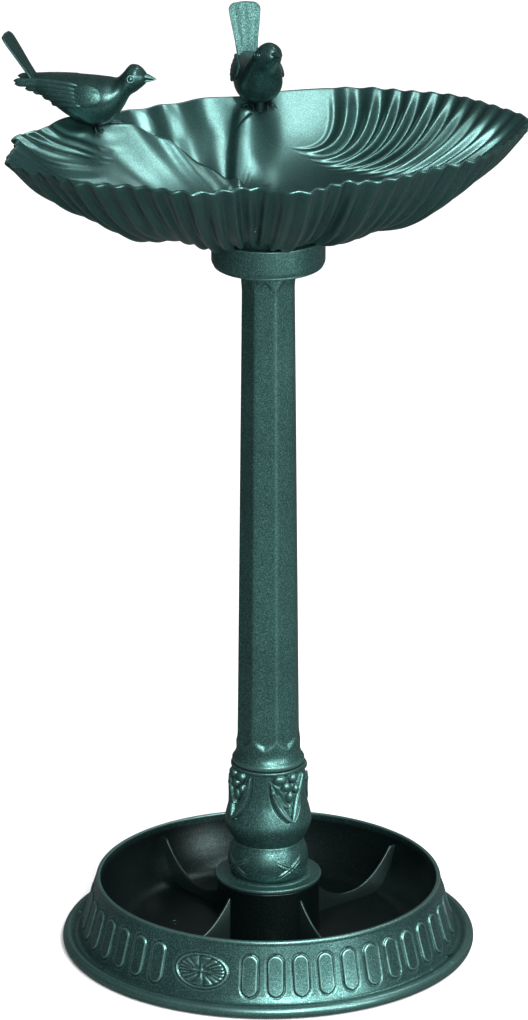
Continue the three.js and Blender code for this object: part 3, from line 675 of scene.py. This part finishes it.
def fold_height(x, y):
    total = np.zeros_like(x)
    for fold in FOLDS:
        path = spline(fold["path"], 60)
        best = np.full_like(x, 1e9)
        along = np.zeros_like(x)
        for i in range(len(path) - 1):
            (ax, ay), (bx, by) = path[i], path[i + 1]
            dx, dy = bx - ax, by - ay
            t = np.clip(((x - ax) * dx + (y - ay) * dy) / (dx * dx + dy * dy), 0, 1)
            d = np.hypot(x - ax - t * dx, y - ay - t * dy)
            side = np.where((x - ax) * dy - (y - ay) * dx < 0, -1.0, 1.0)
            nearer = d < np.abs(best)
            best = np.where(nearer, side * d, best)
            along = np.where(nearer, (i + t) / (len(path) - 1), along)
        ends = smooth(0, 0.15, along) * (1 - fold["fade"] * smooth(0.8, 1, along))
        drop = fold["drop"]
        falling = 1 - 1.5 * smooth(0, drop, best) + 0.5 * smooth(drop, 3 * drop, best)
        total += fold["height"] * ends * np.where(best < 0, np.exp(-(best / fold["reach"]) ** 2), falling)
    return total


def basin_height(x, y):
    """Height of the smooth inner surface at a point in plan."""
    dx, dy = x - FLOOR[0], y - FLOOR[1]
    angle = np.arctan2(dy, dx)
    radius = np.interp(angle, POLAR_ANGLE, POLAR_RADIUS, period=2 * math.pi)
    rho = np.minimum(1, np.hypot(dx, dy) / radius)
    knob = KNOB["height"] * np.exp(-((x - UMBO[0]) ** 2 + (y - UMBO[1]) ** 2) / KNOB["spread"] ** 2)
    steepness = 1 + 0.1 * np.maximum(0, np.sin(angle))
    flatness = 3 + 0.6 * np.minimum(0, np.sin(angle))
    bowl = BOWL["rim_z"] - BOWL["depth"] * (1 - rho ** flatness) ** steepness
    return bowl + (fold_height(x, y) + knob) * smooth(0, 0.12, 1 - rho)


def shell_points(s, t, lobes=1.0):
    """Points of the shell without ribs: s round the rim, t from the umbo (0) to the rim (1).

    lobes is how much of the front's lobes hangs below the basin: 1 for the outer face, 0 for the inner.
    """
    rim = rim_at(s)
    rx, ry = rim[..., 0] - UMBO[0], rim[..., 1] - UMBO[1]
    reach = np.hypot(rx, ry)
    turned = 0.34 + 0.66 * ry / reach
    bow = 0.5 * (turned + np.sqrt(turned * turned + 0.02))
    side = np.where(rx < 0, -1.0, 1.0)
    along = 0.5 + 0.45 * bow
    cx = UMBO[0] + rx * along + bow * ry * side
    cy = UMBO[1] + ry * along - bow * rx * side
    x = (1 - t) ** 2 * UMBO[0] + 2 * t * (1 - t) * cx + t * t * rim[..., 0]
    y = (1 - t) ** 2 * UMBO[1] + 2 * t * (1 - t) * cy + t * t * rim[..., 1]
    lobe = RIBBING["lobe"] * rim[..., 2] * np.sin(math.pi * t) * smooth(0, -0.6, ry / reach)
    return np.stack([x, y, basin_height(x, y) - lobe * lobes], axis=-1)


def rim_direction(s):
    """Direction of the rim from the umbo, in degrees. It falls from the back right round the front."""
    rim = rim_at(s)
    angle = np.arctan2(rim[..., 1] - UMBO[1], rim[..., 0] - UMBO[0]) / DEG
    return np.where(angle > 150, angle - 360, angle)


def rib_phase(s):
    """Ribs counted round the rim. The first arcs beside the smooth dish stand further apart."""
    regular = BOWL["ribs"] * s + 0.3
    wide = np.interp(s, [0.110, 0.124, 0.140, 0.160, 0.185], [8, 9, 10, 11, 12])
    return np.where((s > 0.110) & (s < 0.185), wide, regular)


def ribs_inside(s, t):
    """Height of the ribs on the inner face: deep on the right, only a scalloped edge along the front."""
    angle = rim_direction(s)
    start = np.interp(angle, [-60, -25, 0, 12, 27], [0.82, 0.66, 0.42, 0.3, 0.22])
    grown = np.clip((t - start) / 0.34, 0, 1)
    right = (1 - smooth(27.5, 31, angle)) * smooth(-66, -24, angle) * grown * grown * (3 - 2 * grown)
    front = smooth(-161, -152, angle) * (1 - smooth(-66, -24, angle)) * smooth(0.9, 0.99, t) * 0.4
    left = np.exp(-((angle + 150) / 9) ** 2) * smooth(0.6, 0.9, t) * 0.4
    edge = 1 - 0.62 * smooth(0.86, 1, t)
    return RIBBING["inside"] * 0.5 * (right * edge + front + left) * np.cos(2 * math.pi * rib_phase(s))


def ribs_outside(s, t):
    """Height of the round flutes on the outer face."""
    angle = rim_direction(s)
    strength = (1 - smooth(24, 32, angle)) * smooth(-160, -150, angle) * t ** 0.8
    strength = strength * (1 - 0.5 * smooth(0.9, 1, t))
    uneven = 1 + 0.25 * np.sin(9.3 * s * 2 * math.pi) + 0.18 * np.sin(23 * s * 2 * math.pi + 1)
    return RIBBING["outside"] * 0.5 * strength * uneven * np.cos(2 * math.pi * rib_phase(s))


def shell_normals(s, t):
    step = 1e-3
    across_s = shell_points(s + step, t) - shell_points(s - step, t)
    across_t = shell_points(s, np.minimum(1, t + step)) - shell_points(s, t - step)
    up = np.cross(across_t, across_s)
    up /= np.linalg.norm(up, axis=-1)[..., None] + 1e-9
    return up * np.where(up[..., 2] < 0, -1, 1)[..., None]


IN_WALL = 1.6  # how far below the inner face the tops of the bosses lie, inside the wall


def shell_bowl():
    columns = BOWL["ribs"] * 16
    s = np.arange(columns) / columns
    t = np.linspace(0, 1, 121)[1:] ** 0.9
    grid_s, grid_t = np.meshgrid(s, t)
    base = shell_points(grid_s, grid_t)
    up = shell_normals(grid_s, grid_t)
    inner = shell_points(grid_s, grid_t, 0.0) + up * ribs_inside(grid_s, grid_t)[..., None]
    outer = base + up * (ribs_outside(grid_s, grid_t) - BOWL["wall"])[..., None]
    edge_up = up[-1]
    away = base[-1] - np.array([*FLOOR, 0])
    away[:, 2] = 0
    away /= np.linalg.norm(away, axis=1)[:, None]
    away = away - edge_up * np.sum(away * edge_up, axis=1)[:, None]
    away /= np.linalg.norm(away, axis=1)[:, None] + 1e-9
    lip = []
    for f in (0.12, 0.3, 0.5, 0.7, 0.88):
        lip.append(inner[-1] * (1 - f) + outer[-1] * f + away * 1.2 * math.sin(math.pi * f))
    surface = Surface()
    surface.skin([*inner, *lip, *outer[::-1]])
    surface.skin(bowl_boss())
    for bird in BIRDS:
        x, y, z = bird["feet"]
        around = np.linspace(0, 2 * math.pi, 32, endpoint=False)
        rings = []
        for r, height in [(2.4, z - 25), (5.4, z - 25), (6, z - 24.4), (6, None)]:
            px, py = x + r * np.cos(around), y + r * np.sin(around)
            level = basin_height(px, py) - IN_WALL if height is None else np.full(32, height)
            rings.append(np.stack([px, py, level], axis=1))
        surface.skin(rings)
    return surface


def bowl_boss():
    """The round foot under the shell that sits on the collar, its top hidden in the shell's wall."""
    rings = []
    angles = np.linspace(0, 2 * math.pi, 96, endpoint=False)
    edge = BOWL["boss"]
    for r in (6, 20, 34, edge - 1, edge):
        z = BOWL["boss_z"] + (0.6 if r == edge else 0)
        rings.append([(r * math.cos(a), r * math.sin(a), z) for a in angles])
    for r in (edge, 30, 15, 4):
        x, y = r * np.cos(angles), r * np.sin(angles)
        rings.append(np.stack([x, y, basin_height(x, y) - IN_WALL], axis=1))
    return rings


shell_bowl().piece("bowl_looks", "bowl", "satin_green", satin_green, "bowl", sharp=70)


# ---------------------------------------------------------------- birds
# Sections of the body from tail to beak: x, centre height, half height, half width.
BIRD_BODY = [(-64, 37, 1.5, 3), (-52, 37.5, 7, 8), (-38, 32, 13.1, 14), (-22, 27.1, 18.4, 18.5),
             (-6, 24.4, 20.6, 20.5), (8, 24.7, 19.7, 19.5), (16, 27.4, 16.8, 17), (22, 34, 15.5, 14),
             (28, 43, 13.6, 12.3), (34, 45.6, 11.6, 11), (38.5, 46.2, 8.4, 8), (41.5, 46.2, 5.4, 5),
             (43.2, 46, 2, 2)]
STATIONS = spline(BIRD_BODY, 400)


def body_at(x):
    order = np.argsort(STATIONS[:, 0])
    return [np.interp(x, STATIONS[order, 0], STATIONS[order, k]) for k in (1, 2, 3)]


def side_of(x, z, out=0.0):
    """How far from the middle the body's skin is at a place seen from the side."""
    centre, half_height, half_width = body_at(max(x, -50))
    lean = min(1.0, max(0.0, 1 - ((z - centre) / half_height) ** 2))
    beyond = max(0.0, -50 - x)
    return max(half_width * math.sqrt(lean), 6.5) + out - 0.12 * beyond


def on_side(points, side, out):
    return np.array([(x, side * side_of(x, z, out), z) for x, z in points])


def taper(count, root, tip, power=0.55):
    t = np.linspace(0, 1, count)
    return (np.clip(t / root, 0, 1) * np.clip((1 - t) / tip, 0, 1)) ** power + 0.03


# Long wing feathers from the top of the wing down: start (x, z), end (x, z), width.
FEATHERS = [((-14, 40.0), (-72, 38.8), 4.8), ((-14, 36.8), (-71, 36.2), 4.8), ((-13, 33.6), (-62, 32.4), 4.8),
            ((-12, 30.2), (-55, 29.8), 4.8), ((-11, 26.9), (-47, 26.8), 4.7), ((-10, 23.8), (-38, 22.0), 4.4)]


def wing(surface, side):
    for k, ((x0, z0), (x1, z1), width) in enumerate(FEATHERS):
        t = np.linspace(0, 1, 40)
        path = np.stack([x0 + (x1 - x0) * t, z0 + (z1 - z0) * t + 1.2 * np.sin(math.pi * t)], axis=1)
        spot = on_side(path, side, 1.6 - 0.1 * k)
        size = taper(40, 0.12, 0.08)
        surface.skin(strip(spot, width * size, 3.0 * size, (0, 0, 1), sides=16))
        quill = on_side(path, side, 2.9 - 0.1 * k)
        surface.skin(strip(quill, 0.8 * size, 0.7 * size, (0, 0, 1), sides=8))
    t = np.linspace(0, 1, 36)
    shield = np.stack([7.5 - 33 * t, 30.6 + 2.4 * np.sin(math.pi * t) - 0.4 * t], axis=1)
    size = np.sin(math.pi * np.clip(t, 0.004, 0.996) ** 0.75) ** 0.62
    surface.skin(strip(on_side(shield, side, 0.5), 18.0 * size, 5.0 * size, (0, side * -0.35, 1), sides=28))


def bird_skin():
    """The bird's body with full cheeks and a soft brow, in its own frame: +x forward, feet at the origin."""
    rows = spline(BIRD_BODY, 130)
    angle = np.linspace(0, 2 * math.pi, 96, endpoint=False)
    rings = []
    for x, z, half_height, half_width in rows:
        c, s = np.cos(angle), np.sin(angle)
        full = 0.05 * smooth(-60, 0, x) * (1 - smooth(12, 30, x))
        wide = half_width * c * (1 + full * np.abs(np.sin(2 * angle)))
        high = half_height * s * (1 + full * np.abs(np.sin(2 * angle)))
        cheek = 1.0 * np.exp(-((x - 28) / 5) ** 2) * np.abs(c) ** 3 * np.exp(-((s + 0.3) / 0.45) ** 2)
        brow = 0.8 * np.exp(-((x - 34) / 3.5) ** 2) * np.abs(c) ** 2 * np.exp(-((s - 0.45) / 0.25) ** 2)
        rings.append(np.stack([np.full(96, x), wide + (cheek + brow) * np.sign(c), z + high], axis=1))
    return rings


def beak(surface):
    """Upper and lower halves of a short cone with a fine gape line between them."""
    t = np.linspace(0, 1, 30)
    for upper in (True, False):
        length = 14.0 if upper else 12.4
        root, tip = (48.3, 45.4) if upper else (43.8, 44.6)
        bow = -0.9 * t * t + 0.9 * t if upper else 0 * t
        path = np.stack([37.6 + length * t, np.zeros(30), root + (tip - root) * t + bow], axis=1)
        size = (1 - t) ** 0.85 * 0.97 + 0.03
        surface.skin(strip(path, 11.0 * size, (6.6 if upper else 5.2) * size, (0, 1, 0), sides=24))


def eye(surface, side):
    """A low round eye inside a raised ring."""
    x, z = 31.2, 47.6
    _, y, _ = on_side([(x, z)], side, 0)[0]
    out = np.array([0.28, side * 0.93, 0.22])
    out /= np.linalg.norm(out)
    first = np.cross(out, (0, 0, 1))
    first /= np.linalg.norm(first)
    second = np.cross(out, first)
    middle = np.array([x, y, z])
    angle = np.linspace(0, 2 * math.pi, 28, endpoint=False)
    around = np.outer(np.cos(angle), first) + np.outer(np.sin(angle), second)
    ball = ((2.2, -1.4), (2.1, 0.0), (1.8, 0.6), (1.2, 1.05), (0.4, 1.25))
    surface.skin([middle + out * h + r * around for r, h in ball])
    ring = []
    for a in np.linspace(0, 2 * math.pi, 12, endpoint=False):
        r, h = 2.9 + 0.75 * math.cos(a), 0.1 + 0.7 * math.sin(a)
        ring.append(middle + out * h + r * around)
    surface.skin(ring, loop=True)


TAIL_ROOT = (-53, 0, 37)
TAIL_BURIED = 5  # how far the fan starts inside the rump


def tail_skin(tail):
    """A fan of seven feathers fused into one plate, standing up from the rump."""
    surface = Surface()
    lean = tail["angle"] * DEG
    length = tail["length"]
    along = np.array([-math.cos(lean), 0, math.sin(lean)])
    face = np.array([math.sin(lean), 0, math.cos(lean)])
    root = np.array(TAIL_ROOT)
    rings = []
    for t in np.linspace(0, 1, 60):
        reach = -TAIL_BURIED + (length + 0.8 + TAIL_BURIED) * t
        flare = np.interp(reach / length, [-0.1, 0, 0.35, 0.65, 0.9, 1.02],
                          [8.0, 8.6, 10.3, 12.6, 14.2, 14.1])
        end = math.sqrt(max(0.0, 1 - max(0.0, (reach - length + 7.2) / 8.0) ** 2))
        half = flare * max(end, 0.03) ** 0.55
        angle = np.linspace(0, 2 * math.pi, 64, endpoint=False)
        c, s = np.cos(angle), np.sin(angle)
        wide = half * np.sign(c) * np.abs(c) ** 0.85
        ridge = 0.14 * np.cos(wide / flare * 3.5 * math.pi) * smooth(6, 20, reach)
        thick = (1.45 + ridge) * np.sign(s) * np.abs(s) ** 0.45 * min(1.0, end * 2.2)
        cup = 0.9 * (wide / 13) ** 2 * smooth(0, 30, reach)
        rings.append(root + np.outer(np.full(64, reach), along) + np.outer(wide, (0, 1, 0))
                     + np.outer(thick + cup, face))
    return surface.skin(rings)


NECK = {"from": 16, "to": 30, "pivot": 18}


def placed(surface, bird):
    """Turns the head, then turns and lifts a skin from the bird's own frame to where the bird sits."""
    heading, pitch = bird["heading"] * DEG, bird["pitch"] * DEG
    points = np.array(surface.points)
    turn = bird["look"] * DEG * smooth(NECK["from"], NECK["to"], points[:, 0])
    ahead, y = points[:, 0] - NECK["pivot"], points[:, 1]
    x = np.where(turn > 0, NECK["pivot"] + ahead * np.cos(turn) - y * np.sin(turn), points[:, 0])
    y = np.where(turn > 0, ahead * np.sin(turn) + y * np.cos(turn), y)
    c, s = math.cos(pitch), math.sin(pitch)
    x, z = x * c - points[:, 2] * s, x * s + points[:, 2] * c
    c, s = math.cos(heading), math.sin(heading)
    surface.points = (np.stack([x * c - y * s, x * s + y * c, z], axis=1) + np.array(bird["feet"])).tolist()
    return surface


def toes(bird):
    """Two feet, each with three toes forward and one back, and the stub that the bird is screwed on by."""
    surface = Surface()
    heading = bird["heading"] * DEG
    forward = np.array([math.cos(heading), math.sin(heading)])
    sideways = np.array([-forward[1], forward[0]])
    feet = np.array(bird["feet"][:2], float)
    perch = bird["feet"][2]
    for side in (-1, 1):
        ankle = feet - forward * 2.0 + sideways * side * 7.0
        for spread, length in ((-34, 9.0), (0, 10.0), (34, 9.0), (180, 6.0)):
            turn = spread * DEG + side * 0.5
            way = forward * math.cos(turn) + sideways * math.sin(turn)
            path = []
            for t in np.linspace(0, 1, 14):
                at = ankle + way * length * t
                ground = float(basin_height(np.array(at[0]), np.array(at[1])))
                path.append((at[0], at[1], max(ground + 1.2, perch + 3.5 - 5.5 * t * t)))
            size = taper(14, 0.1, 0.5, 0.5)
            surface.skin(strip(path, 2.9 * size, 2.7 * size, (*sideways, 0), sides=12))
        leg = [(ankle[0], ankle[1], perch + 2.5 + 6 * t) for t in np.linspace(0, 1, 8)]
        surface.skin(strip(leg, np.full(8, 4.0), np.full(8, 4.0), (*forward, 0), sides=14))
    ground = float(basin_height(np.array(feet[0]), np.array(feet[1])))
    stub = [(feet[0], feet[1], ground - 1.5 + (perch + 9 - ground) * t) for t in np.linspace(0, 1, 8)]
    surface.skin(strip(stub, np.full(8, 9.5), np.full(8, 9.5), (*forward, 0), sides=20))
    return surface


for bird in BIRDS:
    name = bird["name"]
    body = Surface()
    body.skin(bird_skin())
    beak(body)
    for side in (-1, 1):
        eye(body, side)
    placed(body, bird).piece(f"{name}_body_looks", "bowl", "bird_green", bird_green, f"{name}_body", sharp=60)
    wings = Surface()
    for side in (-1, 1):
        wing(wings, side)
    placed(wings, bird).piece(f"{name}_wings", "bowl", "bird_green", fleck_green, f"{name}_body", sharp=60)
    tail = placed(tail_skin(bird["tail"]), bird)
    tail.piece(f"{name}_tail_looks", "bowl", "bird_green", fleck_green, f"{name}_tail", sharp=60)
    toes(bird).piece(f"{name}_claws", "bowl", "bird_green", claws_and_painted_hole_shade, f"{name}_body", sharp=60)

# ---------------------------------------------------------------- the CAD's own pieces that stay as they are
INNER = ("shaft_coupling", "shaft_cap")
REPLACED = {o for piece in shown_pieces() for o in piece.get("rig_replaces", [])}
for name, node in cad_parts.items():
    if name not in REPLACED:
        for place in node.material_slots:
            place.material = inner_green if name in INNER else zinc

# ---------------------------------------------------------------- stage, light and camera
FLOOR_HALF = 9.0
floor_mesh = bpy.data.meshes.new("studio_floor")
corners = [(-FLOOR_HALF, -FLOOR_HALF, 0), (FLOOR_HALF, -FLOOR_HALF, 0), (FLOOR_HALF, FLOOR_HALF, 0),
           (-FLOOR_HALF, FLOOR_HALF, 0)]
floor_mesh.from_pydata(corners, [], [(0, 1, 2, 3)])
floor = bpy.data.objects.new("studio_floor", floor_mesh)
floor.location.z = -0.0005
floor.visible_glossy = False
bpy.context.scene.collection.objects.link(floor)
pale = Nodes("pale_floor")
pale.link(pale.ramp(pale.noise(3), [(0.3, (0.86, 0.86, 0.86, 1)), (0.7, (0.88, 0.88, 0.88, 1))]),
          pale.shader.inputs["Base Color"])
pale.set(Roughness=0.9, Specular_IOR_Level=0.1)
floor_mesh.materials.append(pale.material)


def softbox(name, place, aim, size, power):
    light = bpy.data.lights.new(name, "AREA")
    light.shape = "RECTANGLE"
    light.size, light.size_y = size
    light.energy = power
    made = bpy.data.objects.new(name, light)
    made.location = place
    made.rotation_euler = (Vector(aim) - Vector(place)).to_track_quat("-Z", "Y").to_euler()
    bpy.context.scene.collection.objects.link(made)
    return made


def sky_light(name, toward, spread, power):
    """An even light from far off, spread over so many degrees, as a softbox on the ceiling gives."""
    light = bpy.data.lights.new(name, "SUN")
    light.angle = spread * DEG
    light.energy = power
    made = bpy.data.objects.new(name, light)
    made.rotation_euler = Vector(toward).to_track_quat("Z", "Y").to_euler()
    bpy.context.scene.collection.objects.link(made)
    return made


def dark_card(name, corners):
    """A black flag that only reflections see. It shapes the paint's gloss, as flags beside a product do."""
    mesh = bpy.data.meshes.new(name)
    mesh.from_pydata(corners, [], [(0, 1, 2, 3)])
    card = bpy.data.objects.new(name, mesh)
    bpy.context.scene.collection.objects.link(card)
    black = Nodes(name + "_cloth")
    black.link(black.ramp(black.noise(40), [(0.3, (0.01, 0.01, 0.01, 1)), (0.7, (0.02, 0.02, 0.02, 1))]),
               black.shader.inputs["Base Color"])
    black.set(Roughness=1.0, Specular_IOR_Level=0.0)
    mesh.materials.append(black.material)
    for kind in ("camera", "diffuse", "shadow", "transmission", "volume_scatter"):
        setattr(card, f"visible_{kind}", False)
    return card


dark_card("left_flag", [(-0.6, -0.25, 0), (-0.6, 0.9, 0), (-0.6, 0.9, 1.3), (-0.6, -0.25, 1.3)])
sky_light("ceiling", (0.33, -0.46, 0.83), 20, 1.7)
sky_light("right_ceiling", (0.47, 0.26, 0.84), 14, 0.5)
fill = sky_light("fill", (-0.1, -0.2, 1), 100, 1.7)
fill.visible_glossy = False
softbox("front_box", (0.6, -3.3, 1.9), (0, 0, 0.3), (1.2, 1.2), 150)
softbox("right_box", (2.3, -2.2, 1.1), (0, 0, 0.3), (0.8, 1.2), 55)

world = bpy.data.worlds.new("studio")
world.use_nodes = True
world.node_tree.nodes["Background"].inputs["Color"].default_value = (0.96, 0.98, 1.0, 1)
world.node_tree.nodes["Background"].inputs["Strength"].default_value = 0.14
bpy.context.scene.world = world

CAMERA = {"place": (-0.0037, -6.0, 2.567), "down": 19.87, "focal": 7434, "frame_height": 1020, "sensor": 36}
camera_data = bpy.data.cameras.new("camera")
camera_data.sensor_width = CAMERA["sensor"]
camera_data.lens = CAMERA["focal"] / CAMERA["frame_height"] * CAMERA["sensor"]
camera_data.clip_end = 60
camera = bpy.data.objects.new("camera", camera_data)
camera.location = CAMERA["place"]
camera.rotation_euler = ((90 - CAMERA["down"]) * DEG, 0, 0)
bpy.context.scene.collection.objects.link(camera)
bpy.context.scene.camera = camera
bpy.context.scene.view_settings.view_transform = "Standard"
